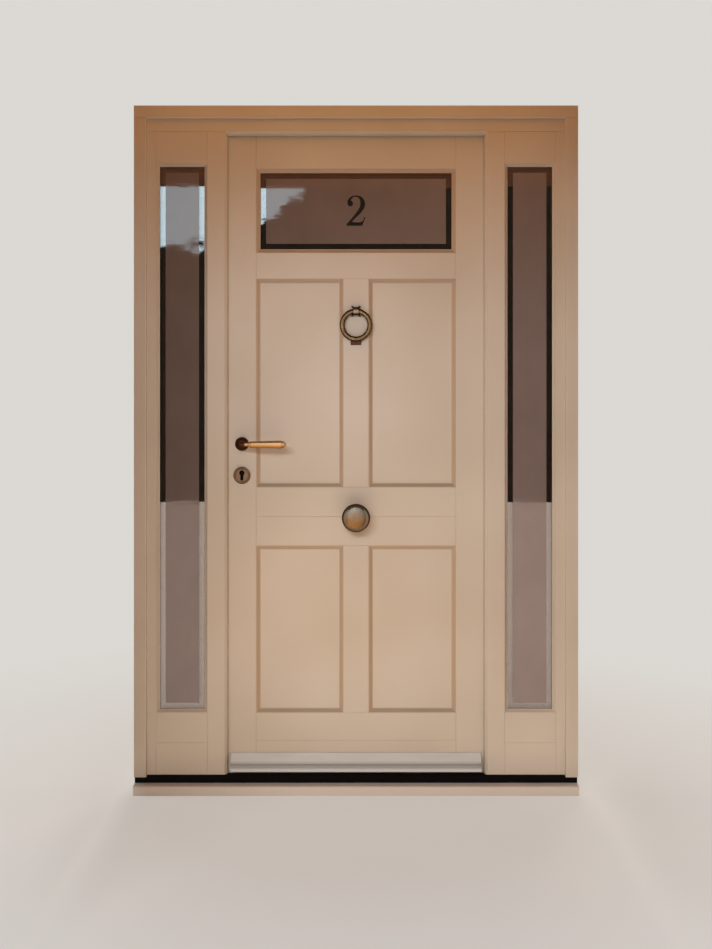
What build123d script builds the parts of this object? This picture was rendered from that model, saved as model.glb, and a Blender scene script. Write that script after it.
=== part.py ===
"""Panelled timber front door in its frame, with a glazed light on each side.

Millimetres. X runs to the right seen from outside, Y into the house and Z up.
The origin lies on the underside of the sill, halfway along it and in the plane
of the frame's outer face. The leaf opens into the house on hinges at the right.
"""
import os
from build123d import *

# Frame timber
frame_depth = 70.0
head_height = 78.0
jamb_width = 68.0
mullion_width = 54.0
side_opening = 162.0
side_top_rail = 101.0
side_lower_rail = 95.0
side_base_rail = 101.0
arris = 1.2

# Door stop round the leaf, part of the frame timber
stop_depth = 22.0
stop_cover = 7.0
stop_bevel_width = 7.5
stop_bevel_depth = 8.0

# Sill and threshold
sill_thickness = 31.0
sill_fall = 2.0
sill_projection = 28.0
sill_nose = 3.0
drip_radius = 3.0
drip_setback = 10.0
threshold_rise = 26.0
threshold_ledge = 12.0
threshold_edge = 2.0

# Cover strips over the joint with the wall
strip_width = 39.0
strip_thickness = 12.0
strip_drop = 4.0
strip_round = 4.0

# Leaf timber, from the bottom up and from the edge inwards
leaf_thickness = 44.0
leaf_gap = 3.0
leaf_floor_gap = 6.0
bottom_board = 109.0
bottom_rail = 88.0
lower_panel_height = 532.0
lower_lock_rail = 93.0
upper_lock_rail = 93.0
upper_panel_height = 664.0
frieze_height = 82.0
top_light_height = 269.0
top_rail_height = 110.0
stile_width = 95.0
panel_width = 277.5
muntin_width = 81.0

# Grooves, tongues, panels and mouldings
groove_width = 12.4
groove_depth = 10.0
tongue_thickness = 12.0
tongue_length = 9.0
panel_recess = 10.0
panel_clearance = 0.5
moulding_width = 13.0
moulding_quirk = 0.9
moulding_lip = 1.0
moulding_slope = ((0.16, 0.0), (0.5, 0.52), (0.82, 0.99))

# Glazing
pane_thickness = 4.0
side_cavity = 16.0
door_cavity = 12.0
glass_clearance = 3.0
glazing_tape = 0.3
side_bead_width = 10.0
side_bead_depth = 12.0
inner_bead_depth = 16.0
spacer_width = 7.0
spacer_inset = 1.0

# Weather seal in the stop
seal_bulb = 6.0
seal_clearance = 0.3
seal_crown = 1.0
seal_stem = 2.4
seal_stem_length = 4.5
seal_slot = 3.0
seal_slot_depth = 5.0
seal_from_stop = 5.0

# Weatherboard
weatherboard_end_gap = 10.0
weatherboard_height = 51.0
weatherboard_projection = 38.0
weatherboard_lift = 12.0
weatherboard_nose = 13.0
weatherboard_cove = 11.0
weatherboard_cove_depth = 5.5
weatherboard_overhang = 1.0
weatherboard_edge = 2.0
weatherboard_top_edge = 5.0

# Lock furniture
lock_backset = 50.0
lever_height = 1053.0
cylinder_centres = 92.0
profile_radius = 8.5
profile_web = 5.0
profile_height = 33.0
rose_diameter = 44.0
rose_thickness = 8.0
rose_rim = 2.8
escutcheon_diameter = 54.0
escutcheon_thickness = 8.0
escutcheon_floor = 4.8
backplate_height = 240.0
backplate_width = 42.0
backplate_thickness = 9.0
backplate_edge = 3.0
spindle_side = 8.0
spindle_clearance = 0.1
lever_projection = 42.0
lever_stem_radius = 8.0
lever_bend_radius = 12.0
lever_throat_radius = 5.2
lever_throat = 22.0
lever_ring_radius = 7.8
lever_ring_width = 3.5
lever_groove = 1.5
lever_neck_radius = 10.0
lever_shoulder = 8.0
lever_tip_radius = 12.3
lever_length = 130.0
lever_nose = 13.0
stem_setback = 1.0
spindle_grip = 13.0
collar_radius = 10.0
collar_length = 5.0
collar_gap = 0.4
thumb_turn_reach = 24.0
thumb_turn_height = 30.0
thumb_turn_width = 15.0
thumb_turn_edge = 1.5
thumb_turn_collar = 4.0
thumb_turn_collar_radius = 9.0
cylinder_stand = 1.0
plug_radius = 6.5
keyway_width = 1.8
keyway_height = 8.0
keyway_stop = 12.0
cam_radius = 14.0
cam_width = 7.0
cam_thickness = 8.0
cam_room = 1.0
mortice_clearance = 1.0
running_clearance = 0.05
slide_clearance = 0.15

# Lock case, bolts and strike plate
case_height = 205.0
case_depth = 75.0
case_thickness = 15.0
case_below_cylinder = 70.0
faceplate_height = 240.0
faceplate_width = 22.0
faceplate_thickness = 3.0
latch_height = 18.0
latch_thickness = 12.0
latch_length = 40.0
latch_throw = 11.0
latch_flat = 2.5
latch_shoulder = 0.5
dead_bolt_height = 34.0
dead_bolt_thickness = 12.0
dead_bolt_length = 42.0
dead_bolt_throw = 20.0
dead_bolt_above_cylinder = 42.0
strike_clearance = 2.0
strike_width = 24.0
strike_thickness = 3.0
strike_margin = 26.0

# Hinges
hinge_heights = (200.0, 1020.0, 1820.0)
hinge_length = 100.0
hinge_plate = 2.5
hinge_plate_width = 34.0
hinge_axis_setback = 7.5
hinge_parting = 0.2
knuckle_radius = 6.5
knuckle_relief = 0.6
knuckle_count = 5
knuckle_gap = 0.3
pin_radius = 3.0
pin_head = 3.0
pin_head_radius = 5.0

# Ring knocker, hung below the top of the upper panels, and centre knob on the lock rail's joint
ring_radius = 44.2
ring_section = 7.75
knocker_drop = 148.0
ring_clearance = 0.3
strap_gap = 2.15
strap_thickness = 3.0
strap_waist = 9.5
strap_foot = 16.0
strap_foot_height = 4.0
strap_foot_thickness = 4.0
strike_pad_height = 21.0
strike_pad_width = 34.0
strike_pad_thickness = 4.0
strike_pad_drop = 11.0
knob_diameter = 89.0
knob_projection = 74.0
knob_base_diameter = 62.0
knob_base_thickness = 4.0
knob_neck_diameter = 26.0

# Fixing holes through the outer jambs
fixing_radius = 4.0
fixing_setback = 50.0
fixing_heights = (300.0, 850.0, 1350.0, 1900.0)

# How far a cutting solid runs past what it cuts
over = 1.0

# Levels and widths that follow from the sizes above
leaf_front = stop_depth + leaf_gap
leaf_back = leaf_front + leaf_thickness
leaf_middle = (leaf_front + leaf_back) / 2
threshold_top = sill_thickness + threshold_rise
ledge_top = sill_thickness + threshold_ledge
leaf_bottom = ledge_top + leaf_floor_gap
bottom_joint = leaf_bottom + bottom_board
lower_panel_bottom = bottom_joint + bottom_rail
lower_panel_top = lower_panel_bottom + lower_panel_height
lock_joint = lower_panel_top + lower_lock_rail
upper_panel_bottom = lock_joint + upper_lock_rail
upper_panel_top = upper_panel_bottom + upper_panel_height
top_light_bottom = upper_panel_top + frieze_height
top_light_top = top_light_bottom + top_light_height
leaf_top = top_light_top + top_rail_height
stile_inner = muntin_width / 2 + panel_width
leaf_half = stile_inner + stile_width
opening_half = leaf_half + leaf_gap
head_bottom = leaf_top + leaf_gap
frame_top = head_bottom + head_height
side_inner = opening_half + mullion_width
side_outer = side_inner + side_opening
frame_half = side_outer + jamb_width
side_base_top = threshold_top + side_base_rail
side_glass_bottom = side_base_top + side_lower_rail
side_glass_top = head_bottom - side_top_rail
stop_width = leaf_gap + stop_cover
lever_z = leaf_bottom + lever_height
cylinder_z = lever_z - cylinder_centres
cylinder_front = leaf_front - escutcheon_floor - cylinder_stand
cylinder_back = leaf_back + backplate_thickness + cylinder_stand
lock_x = -leaf_half + lock_backset
profile_drop = profile_height / 2 - profile_radius
ring_z = upper_panel_top - knocker_drop
ring_y = leaf_front - strike_pad_thickness - ring_clearance - ring_section
ring_top = ring_z + ring_radius
hinge_x = leaf_half + leaf_gap / 2
hinge_y = frame_depth + hinge_axis_setback


def bar_up(outline, low, high):
    """A plan outline raised between two heights."""
    face = Plane.XY.offset(low) * Polygon(*outline, align=None)
    return extrude(face, amount=high - low, dir=(0, 0, 1))


def bar_across(outline, left, right):
    """An outline in depth and height run from left to right."""
    face = Plane.YZ.offset(left) * Polygon(*outline, align=None)
    return extrude(face, amount=right - left, dir=(1, 0, 0))


def plate(outline, front, back):
    """A face-on outline given a thickness in depth."""
    face = Plane.XZ.offset(-front) * Polygon(*outline, align=None)
    return extrude(face, amount=back - front, dir=(0, 1, 0))


def block(x, y, z):
    """A box between three pairs of limits."""
    low = (min(x), min(y), min(z))
    size = [abs(pair[1] - pair[0]) for pair in (x, y, z)]
    return Pos(*low) * Box(*size, align=Align.MIN)


def edges_at(solid, axis, place):
    """The edges that lie in the plane across an axis at a place."""
    return solid.edges().filter_by_position(axis, place - 0.01, place + 0.01)


def ease(solid, *planes):
    """Takes the arris off every edge that lies in one of the planes, given as axis and place."""
    edges = []
    for axis, place in planes:
        edges += edges_at(solid, axis, place)
    return chamfer(edges, arris)


def ease_front(solid, wanted):
    """Takes the arris off the edges in the frame's outer face that a rule picks."""
    return chamfer(edges_at(solid, Axis.Y, 0).filter_by(wanted), arris)


def turned(profile, centre):
    """A profile of radius and depth, turned about a line that runs into the house."""
    face = Plane.XY * make_face(Polyline(*profile, close=True))
    return Pos(*centre) * revolve(face, Axis.Y)


def both_faces(solid, front, back):
    return ease(solid, (Axis.Y, front), (Axis.Y, back))


def mirrored(solid):
    return mirror(solid, Plane.YZ)


def mitred_strip(side, x, z, section):
    """One length of a moulding round a rectangle, its section in inward distance and depth."""
    width = max(point[0] for point in section)
    if side == "left":
        bar = bar_up([(x[0] + u, y) for u, y in section], *z)
        mitre = [(x[0], z[0]), (x[0] + width, z[0] + width), (x[0] + width, z[1] - width), (x[0], z[1])]
    elif side == "right":
        bar = bar_up([(x[1] - u, y) for u, y in section], *z)
        mitre = [(x[1], z[0]), (x[1], z[1]), (x[1] - width, z[1] - width), (x[1] - width, z[0] + width)]
    elif side == "bottom":
        bar = bar_across([(y, z[0] + u) for u, y in section], *x)
        mitre = [(x[0], z[0]), (x[1], z[0]), (x[1] - width, z[0] + width), (x[0] + width, z[0] + width)]
    else:
        bar = bar_across([(y, z[1] - u) for u, y in section], *x)
        mitre = [(x[0], z[1]), (x[0] + width, z[1] - width), (x[1] - width, z[1] - width), (x[1], z[1])]
    depths = [point[1] for point in section]
    return bar & plate(mitre, min(depths) - over, max(depths) + over)


def mitred_ring(x, z, section, sides=("left", "right", "bottom", "top")):
    return [mitred_strip(side, x, z, section) for side in sides]


def moulding_section(front, back, width, quirk=moulding_quirk):
    """A steep slope with a small step at either edge, from the timber's face to the panel or pane."""
    step = 1 if back > front else -1
    start = front + step * quirk
    lip = back - step * moulding_lip
    slope = [(width * across, start + (lip - start) * down) for across, down in moulding_slope]
    return [(0, start), *slope, (width, lip), (width, back), (0, back)]


def bead_section(front, back, width):
    """An inner glazing bead, square on the glass and sloped towards the room."""
    slope = 0.55
    shoulder = front + (back - front) * slope
    return [(0, front), (width, front), (width, shoulder), (width * slope, back), (0, back)]


def euro_profile(grow=0.0):
    """The keyhole outline of a profile cylinder, centred on its plug, in width and height."""
    radius = profile_radius + grow
    web = profile_web + grow
    drop = profile_height - profile_radius - profile_web
    return Circle(radius) + Pos(0, -drop / 2) * Rectangle(2 * web, drop) + Pos(0, -drop) * Circle(web)


def through(sketch, x, z, front, back):
    """A face-on sketch placed at x and z and run through a depth."""
    face = Plane(origin=(x, back, z), x_dir=(1, 0, 0), z_dir=(0, -1, 0)) * sketch
    return extrude(face, amount=back - front)


# Frame

def sill():
    outline = [
        (-sill_projection, 0), (-sill_projection, sill_thickness - sill_fall - sill_nose),
        (-sill_projection + sill_nose, sill_thickness - sill_fall), (0, sill_thickness),
        (frame_depth, sill_thickness), (frame_depth, 0),
    ]
    body = bar_across(outline, -frame_half, frame_half)
    groove = Plane.YZ.offset(-frame_half) * Pos(-sill_projection + drip_setback, 0) * Circle(drip_radius)
    return body - extrude(groove, amount=2 * frame_half)


def threshold():
    """A step with an eased top, and a ledge behind it that the frame and leaf stand over."""
    edge = threshold_edge
    outline = [
        (edge, sill_thickness), (edge, threshold_top - edge), (2 * edge, threshold_top),
        (stop_depth - edge, threshold_top), (stop_depth, threshold_top - edge), (stop_depth, ledge_top),
        (frame_depth, ledge_top), (frame_depth, sill_thickness),
    ]
    return bar_across(outline, -frame_half, frame_half)


def stop_section():
    """The door stop, in inward distance from the opening and depth."""
    return [
        (0, 0), (stop_bevel_width, stop_bevel_depth), (stop_width, stop_depth),
        (seal_from_stop + seal_slot, stop_depth), (seal_from_stop + seal_slot, stop_depth - seal_slot_depth),
        (seal_from_stop, stop_depth - seal_slot_depth), (seal_from_stop, stop_depth), (0, stop_depth),
    ]


door_opening = ((-opening_half, opening_half), (threshold_top, head_bottom))


def door_stop(side):
    """The stop along one side; the two uprights run square down to the threshold."""
    x, z = door_opening
    if side == "top":
        return mitred_strip(side, x, z, stop_section())
    strip = mitred_strip(side, x, (z[0] - stop_width, z[1]), stop_section())
    return strip - block(x, (-over, frame_depth), (z[0] - 2 * stop_width, z[0]))


def upright(inner, outer):
    """A post that stands on the threshold, notched over its step."""
    post = block((inner, outer), (0, frame_depth), (ledge_top, head_bottom))
    return post - block((inner - over, outer + over), (-over, stop_depth), (ledge_top - over, threshold_top))


def mullion_left():
    post = ease(upright(-side_inner, -opening_half), (Axis.Y, frame_depth))
    post = ease_front(post, lambda edge: edge.center().X < -opening_half - over)
    return post + door_stop("left")


def strike_pockets():
    """The holes that the latch and the dead bolt enter, through the plate and into the post."""
    face = -opening_half
    pockets = []
    for (low, high, throw), thickness in (
        (latch_span(), latch_thickness),
        (dead_bolt_span(), dead_bolt_thickness),
    ):
        depth = throw - leaf_gap + 2 * strike_clearance
        half = thickness / 2 + strike_clearance
        pockets.append(
            block(
                (face - depth, face + over),
                (leaf_middle - half, leaf_middle + half),
                (low - strike_clearance, high + strike_clearance),
            )
        )
    return pockets


def strike_plate_block():
    low = dead_bolt_span()[0] - strike_margin
    high = latch_span()[1] + strike_margin
    face = -opening_half
    return block(
        (face - strike_thickness, face),
        (leaf_middle - strike_width / 2, leaf_middle + strike_width / 2),
        (low, high),
    )


def latch_span():
    return lever_z - latch_height / 2, lever_z + latch_height / 2, latch_throw


def dead_bolt_span():
    middle = cylinder_z + dead_bolt_above_cylinder
    return middle - dead_bolt_height / 2, middle + dead_bolt_height / 2, dead_bolt_throw


def outer_jamb_right():
    post = both_faces(upright(side_outer, frame_half), 0, frame_depth)
    drill = Rot(0, 90, 0) * Cylinder(fixing_radius, jamb_width + 2 * over)
    for height in fixing_heights:
        post -= Pos(side_outer + jamb_width / 2, fixing_setback, height) * drill
    return post


def head():
    beam = block((-frame_half, frame_half), (0, frame_depth), (head_bottom, frame_top))
    beam = ease(beam, (Axis.Y, frame_depth))
    beam = ease_front(beam, lambda edge: edge.center().Z > head_bottom + over)
    return beam + door_stop("top")


def side_rail(low, high):
    """A rail across a side light; the lowest one is notched over the threshold's step as the posts are."""
    across = (side_inner, side_outer)
    piece = block(across, (0, frame_depth), (low, high))
    if low == threshold_top:
        piece = upright(*across) & block(across, (0, frame_depth), (ledge_top, high))
    return both_faces(piece, 0, frame_depth)


def cover_strip_right():
    low = threshold_top - strip_drop
    bar = block((frame_half - strip_width, frame_half), (-strip_thickness, 0), (low, frame_top - strip_width))
    edge = edges_at(bar, Axis.Y, -strip_thickness).filter_by(Axis.Z)
    return fillet(edge.sort_by(Axis.X)[0], strip_round)


def cover_strip_top():
    bar = block((-frame_half, frame_half), (-strip_thickness, 0), (frame_top - strip_width, frame_top))
    edge = edges_at(bar, Axis.Y, -strip_thickness).filter_by(Axis.X)
    return fillet(edge.sort_by(Axis.Z)[0], strip_round)


def weather_seal():
    """A bulb on a stem that is pushed into the stop's slot, down both sides and across the top."""
    x, z = door_opening
    middle = seal_from_stop + seal_slot / 2
    root = stop_depth - seal_stem_length
    stem = (middle - seal_stem / 2, middle + seal_stem / 2)
    bulb = (middle - seal_bulb / 2, middle + seal_bulb / 2)
    crown = (middle - seal_bulb / 3, middle + seal_bulb / 3)
    back = leaf_front - seal_clearance
    shoulder = back - seal_crown
    section = [
        (stem[0], root), (stem[1], root), (stem[1], stop_depth), (bulb[1], stop_depth), (bulb[1], shoulder),
        (crown[1], back), (crown[0], back), (bulb[0], shoulder), (bulb[0], stop_depth), (stem[0], stop_depth),
    ]
    strips = mitred_ring(x, (z[0] - stop_width, z[1]), section, ("left", "right", "top"))
    below = block(x, (0, frame_depth), (z[0] - 2 * stop_width, z[0]))
    return [strip - below for strip in strips]


def glass_unit(x, z, front, cavity):
    """Two panes a cavity apart, held clear of the timber."""
    x = (x[0] + glass_clearance, x[1] - glass_clearance)
    z = (z[0] + glass_clearance, z[1] - glass_clearance)
    inner = front + pane_thickness + cavity
    return [block(x, (front, front + pane_thickness), z), block(x, (inner, inner + pane_thickness), z)]


def glass_spacer(x, z, front, cavity):
    """The bar that holds the two panes apart, all round their edges."""
    inset = glass_clearance + spacer_inset
    inner = inset + spacer_width
    near = front + pane_thickness
    outer = block((x[0] + inset, x[1] - inset), (near, near + cavity), (z[0] + inset, z[1] - inset))
    return outer - block(
        (x[0] + inner, x[1] - inner), (near - over, near + cavity + over), (z[0] + inner, z[1] - inner)
    )


side_glass_front = side_bead_depth + glazing_tape
side_opening_right = ((side_inner, side_outer), (side_glass_bottom, side_glass_top))


def side_beads_right():
    x, z = side_opening_right
    unit_back = side_glass_front + 2 * pane_thickness + side_cavity + glazing_tape
    outer = mitred_ring(x, z, moulding_section(0, side_bead_depth, side_bead_width))
    inner = mitred_ring(x, z, bead_section(unit_back, unit_back + inner_bead_depth, side_bead_width))
    return outer + inner


# Leaf timber

groove_span = (leaf_middle - groove_width / 2, leaf_middle + groove_width / 2)
tongue_span = (leaf_middle - tongue_thickness / 2, leaf_middle + tongue_thickness / 2)


def grooves(places, run, upright_run):
    """Panel grooves: places are the edges and the way each groove is cut from them."""
    cuts = []
    for edge, inward in places:
        across = (edge - inward * over, edge + inward * groove_depth)
        if upright_run:
            cuts.append(block(across, groove_span, run))
        else:
            cuts.append(block(run, groove_span, across))
    return cuts


def cut(solid, tools):
    for tool in tools:
        solid -= tool
    return solid


def stile_right():
    body = block((stile_inner, leaf_half), (leaf_front, leaf_back), (leaf_bottom, leaf_top))
    body = both_faces(body, leaf_front, leaf_back)
    return cut(body, grooves([(stile_inner, 1)], (leaf_bottom - over, leaf_top + over), True))


def rail(low, high, grooved=()):
    """A rail between the stiles, with stub tongues in their grooves."""
    body = block((-stile_inner, stile_inner), (leaf_front, leaf_back), (low, high))
    body = both_faces(body, leaf_front, leaf_back)
    tongue_low = low + (groove_depth if "bottom" in grooved else 0)
    tongue_high = high - (groove_depth if "top" in grooved else 0)
    reach = stile_inner + tongue_length
    body += block((-reach, -stile_inner), tongue_span, (tongue_low, tongue_high))
    body += block((stile_inner, reach), tongue_span, (tongue_low, tongue_high))
    places = []
    if "top" in grooved:
        places.append((high, -1))
    if "bottom" in grooved:
        places.append((low, 1))
    return cut(body, grooves(places, (-stile_inner, stile_inner), False))


def muntin(low, high):
    """The upright between two panels, with stub tongues in the rails' grooves."""
    half = muntin_width / 2
    body = block((-half, half), (leaf_front, leaf_back), (low, high))
    body = both_faces(body, leaf_front, leaf_back)
    across = (-half + groove_depth, half - groove_depth)
    body += block(across, tongue_span, (low - tongue_length, low))
    body += block(across, tongue_span, (high, high + tongue_length))
    return cut(body, grooves([(-half, 1), (half, -1)], (low, high), True))


def panel(low, high):
    """The right-hand panel of a pair: a thick field with a tongue all round."""
    inner = muntin_width / 2
    x = (inner + panel_clearance, stile_inner - panel_clearance)
    z = (low + panel_clearance, high - panel_clearance)
    field = block(x, (leaf_front + panel_recess, leaf_back - panel_recess), z)
    reach = (inner - tongue_length, stile_inner + tongue_length)
    return field + block(reach, tongue_span, (low - tongue_length, high + tongue_length))


door_glass_front = leaf_front + panel_recess + glazing_tape
door_glass_back = door_glass_front + 2 * pane_thickness + door_cavity
top_light = ((-stile_inner, stile_inner), (top_light_bottom, top_light_top))


def panel_openings():
    inner = muntin_width / 2
    for low, high in ((lower_panel_bottom, lower_panel_top), (upper_panel_bottom, upper_panel_top)):
        for x in ((-stile_inner, -inner), (inner, stile_inner)):
            yield x, (low, high)


def outside_mouldings():
    strips = []
    section = moulding_section(leaf_front, leaf_front + panel_recess, moulding_width)
    for x, z in [*panel_openings(), top_light]:
        strips += mitred_ring(x, z, section)
    return strips


def inside_mouldings():
    strips = []
    section = moulding_section(leaf_back, leaf_back - panel_recess, moulding_width)
    for x, z in panel_openings():
        strips += mitred_ring(x, z, section)
    back = leaf_back - moulding_quirk
    strips += mitred_ring(*top_light, bead_section(door_glass_back + glazing_tape, back, moulding_width))
    return strips


def weatherboard():
    """Sloped on top, with a hollow over a nose and a drip groove below, planted on the leaf's face."""
    half = opening_half - stop_width - weatherboard_end_gap
    edge = weatherboard_edge
    low = threshold_top + weatherboard_lift
    high = low + weatherboard_height
    tip = leaf_front - weatherboard_projection
    nose_top = low + weatherboard_nose
    cove_start = (tip + edge, nose_top)
    cove_end = (cove_start[0] + weatherboard_overhang, nose_top + weatherboard_cove)
    cove_middle = (cove_start[0] + weatherboard_cove_depth, nose_top + weatherboard_cove / 2)
    top_edge = leaf_front - weatherboard_top_edge
    nose = Polyline(
        (leaf_front, low), (tip + edge, low), (tip, low + edge), (tip, nose_top - edge), cove_start
    )
    cove = ThreePointArc(cove_start, cove_middle, cove_end)
    slope = Polyline(
        cove_end, (top_edge - edge, high - edge), (top_edge, high), (leaf_front, high), (leaf_front, low)
    )
    body = extrude(Plane.YZ.offset(-half) * make_face([nose, cove, slope]), amount=2 * half, dir=(1, 0, 0))
    drip = Plane.YZ.offset(-half) * Pos(tip + drip_setback, low) * Circle(drip_radius)
    return body - extrude(drip, amount=2 * half)


# Lock and furniture

def lock_case_blocks():
    case = block(
        (-leaf_half + faceplate_thickness, -leaf_half + case_depth),
        (leaf_middle - case_thickness / 2, leaf_middle + case_thickness / 2),
        (cylinder_z - case_below_cylinder, cylinder_z - case_below_cylinder + case_height),
    )
    middle = cylinder_z - case_below_cylinder + case_height / 2
    faceplate = block(
        (-leaf_half, -leaf_half + faceplate_thickness),
        (leaf_middle - faceplate_width / 2, leaf_middle + faceplate_width / 2),
        (middle - faceplate_height / 2, middle + faceplate_height / 2),
    )
    return case, faceplate


def bolt_channel(span, thickness, length):
    low, high, throw = span
    gap = slide_clearance
    return block(
        (-leaf_half - over, -leaf_half + length + gap),
        (leaf_middle - thickness / 2 - gap, leaf_middle + thickness / 2 + gap),
        (low - gap, high + gap),
    )


def lock_case():
    """Case and faceplate in one, with the ways for both bolts, the spindle and the cylinder."""
    case, faceplate = lock_case_blocks()
    body = case + faceplate
    body -= bolt_channel(latch_span(), latch_thickness, latch_length)
    body -= bolt_channel(dead_bolt_span(), dead_bolt_thickness, dead_bolt_length)
    body -= through(Circle(spindle_side), lock_x, lever_z, 0, frame_depth)
    body -= through(euro_profile(slide_clearance), lock_x, cylinder_z, 0, frame_depth)
    half = cam_thickness / 2 + cam_room
    sweep = Circle(cam_radius + cam_room)
    return body - through(sweep, lock_x, cylinder_z, leaf_middle - half, leaf_middle + half)


def latch_bolt():
    """At rest it stands out by its throw, bevelled on the side that meets the strike on closing."""
    low, high, throw = latch_span()
    half = latch_thickness / 2
    tip = -leaf_half - throw
    outline = [
        (tip, leaf_middle + half), (tip, leaf_middle + half - latch_flat),
        (-leaf_half - latch_shoulder, leaf_middle - half),
        (tip + latch_length, leaf_middle - half), (tip + latch_length, leaf_middle + half),
    ]
    return bar_up(outline, low, high)


def dead_bolt():
    """At rest it is drawn back flush with the faceplate."""
    low, high, throw = dead_bolt_span()
    half = dead_bolt_thickness / 2
    reach = dead_bolt_length - throw
    body = block((-leaf_half, -leaf_half + reach), (leaf_middle - half, leaf_middle + half), (low, high))
    return ease(body, (Axis.X, -leaf_half))


def lock_stile():
    """The lock stile with its mortices for the case, the furniture and the cylinder."""
    body = mirrored(stile_right())
    case, faceplate = lock_case_blocks()
    body -= case
    body -= faceplate
    body -= through(Circle(spindle_side + mortice_clearance), lock_x, lever_z, 0, frame_depth)
    body -= through(euro_profile(mortice_clearance), lock_x, cylinder_z, 0, frame_depth)
    return body


def rose_outside():
    """A rose with a stepped rim and a domed middle, bored for the lever's stem."""
    bore = lever_stem_radius + running_clearance
    radius = rose_diameter / 2
    rim = rose_rim
    top = rose_thickness
    outline = [
        (bore, 0), (radius, 0), (radius, -rim), (radius - 2, -rim - 1.5), (radius - 5, -rim - 1.5),
        (radius - 9, -top + 0.8), (radius - 12, -top), (bore, -top),
    ]
    return turned(outline, (lock_x, leaf_front, lever_z))


def escutcheon_outside():
    """A round plate with a raised rim and a sunk face round the cylinder."""
    radius = escutcheon_diameter / 2
    top = escutcheon_thickness
    floor = escutcheon_floor
    outline = [
        (0, 0), (radius, 0), (radius, -top * 0.4), (radius - 2, -top * 0.85), (radius - 4, -top),
        (radius - 6, -top * 0.85), (radius - 7.5, -floor), (0, -floor),
    ]
    body = turned(outline, (lock_x, leaf_front, cylinder_z - profile_drop))
    return body - through(euro_profile(slide_clearance), lock_x, cylinder_z, 0, leaf_front)


def inside_backplate():
    """The long plate on the room side, behind the inner lever and the thumb turn."""
    middle = (lever_z + cylinder_z) / 2
    outline = RectangleRounded(backplate_width, backplate_height, backplate_width / 2 - 1)
    back = leaf_back + backplate_thickness
    body = through(outline, lock_x, middle, leaf_back, back)
    body = chamfer(edges_at(body, Axis.Y, back), backplate_edge)
    bore = Circle(lever_stem_radius + running_clearance)
    body -= through(bore, lock_x, lever_z, leaf_back - over, back + over)
    return body - through(euro_profile(slide_clearance), lock_x, cylinder_z, leaf_back - over, back + over)


def lever_arm():
    """The turned arm along X: a drawn-in throat, a ring, a swelling shaft and a pointed end."""
    crest = lever_ring_radius
    ring = lever_throat + lever_ring_width
    shaft = ring + lever_groove
    full = shaft + lever_shoulder
    end = lever_length
    nose = end + lever_groove
    tip = lever_tip_radius
    throat = Polyline(
        (lever_bend_radius, 0), (lever_bend_radius, lever_stem_radius), (lever_throat, lever_throat_radius),
        (lever_throat, crest - 1), (lever_throat + 1, crest), (ring - 1, crest), (ring, crest - 1),
        (shaft, crest - 1),
    )
    shoulder = Spline((shaft, crest - 1), (full, lever_neck_radius), tangents=((0.6, 1), (1, 0.05)))
    shaft_and_end = Polyline(
        (full, lever_neck_radius), (end - 2, tip), (end, tip - 1.5), (end, tip - 3), (nose, tip - 3),
        (nose + 1, tip - 1.8), (nose + 4, tip - 2.4), (nose + lever_nose - 1, 2.5), (nose + lever_nose, 0),
        (lever_bend_radius, 0),
    )
    return revolve(make_face([throat, shoulder, shaft_and_end]), Axis.X)


def lever(cover):
    """Stem out of a rose or plate of that thickness, bend and arm, standing out from the leaf along Y."""
    reach = cover + lever_projection
    bend_start = reach - lever_bend_radius
    stem = through(Circle(lever_stem_radius), 0, 0, stem_setback, bend_start)
    bore = through(Circle(collar_radius), 0, 0, cover + collar_gap, cover + collar_gap + collar_length)
    ring = Plane(origin=(0, bend_start, 0), x_dir=(1, 0, 0), z_dir=(0, 1, 0)) * Circle(lever_stem_radius)
    bend = revolve(ring, Axis((lever_bend_radius, bend_start, 0), (0, 0, -1)), 90)
    socket_side = spindle_side + 2 * spindle_clearance
    socket = Rectangle(socket_side, socket_side)
    body = stem + bore + bend + Pos(0, reach, 0) * lever_arm()
    return body - through(socket, 0, 0, 0, stem_setback + spindle_grip + spindle_clearance)


def lever_outside():
    return Pos(lock_x, leaf_front, lever_z) * mirror(lever(rose_thickness), Plane.XZ)


def lever_inside():
    return Pos(lock_x, leaf_back, lever_z) * lever(backplate_thickness)


def spindle():
    length = leaf_thickness + 2 * (stem_setback + spindle_grip)
    return Pos(lock_x, leaf_middle, lever_z) * Box(spindle_side, length, spindle_side)


def cylinder_body():
    """The profile cylinder, bored for its plug and open in the middle for the cam."""
    body = through(euro_profile(), lock_x, cylinder_z, cylinder_front, cylinder_back)
    bore = Circle(plug_radius + running_clearance)
    body -= through(bore, lock_x, cylinder_z, cylinder_front - over, cylinder_back + over)
    half = cam_thickness / 2 + cam_room
    return body - block(
        (lock_x - profile_height, lock_x + profile_height),
        (leaf_middle - half, leaf_middle + half),
        (cylinder_z - cam_radius - cam_room, cylinder_z + profile_height),
    )


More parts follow.
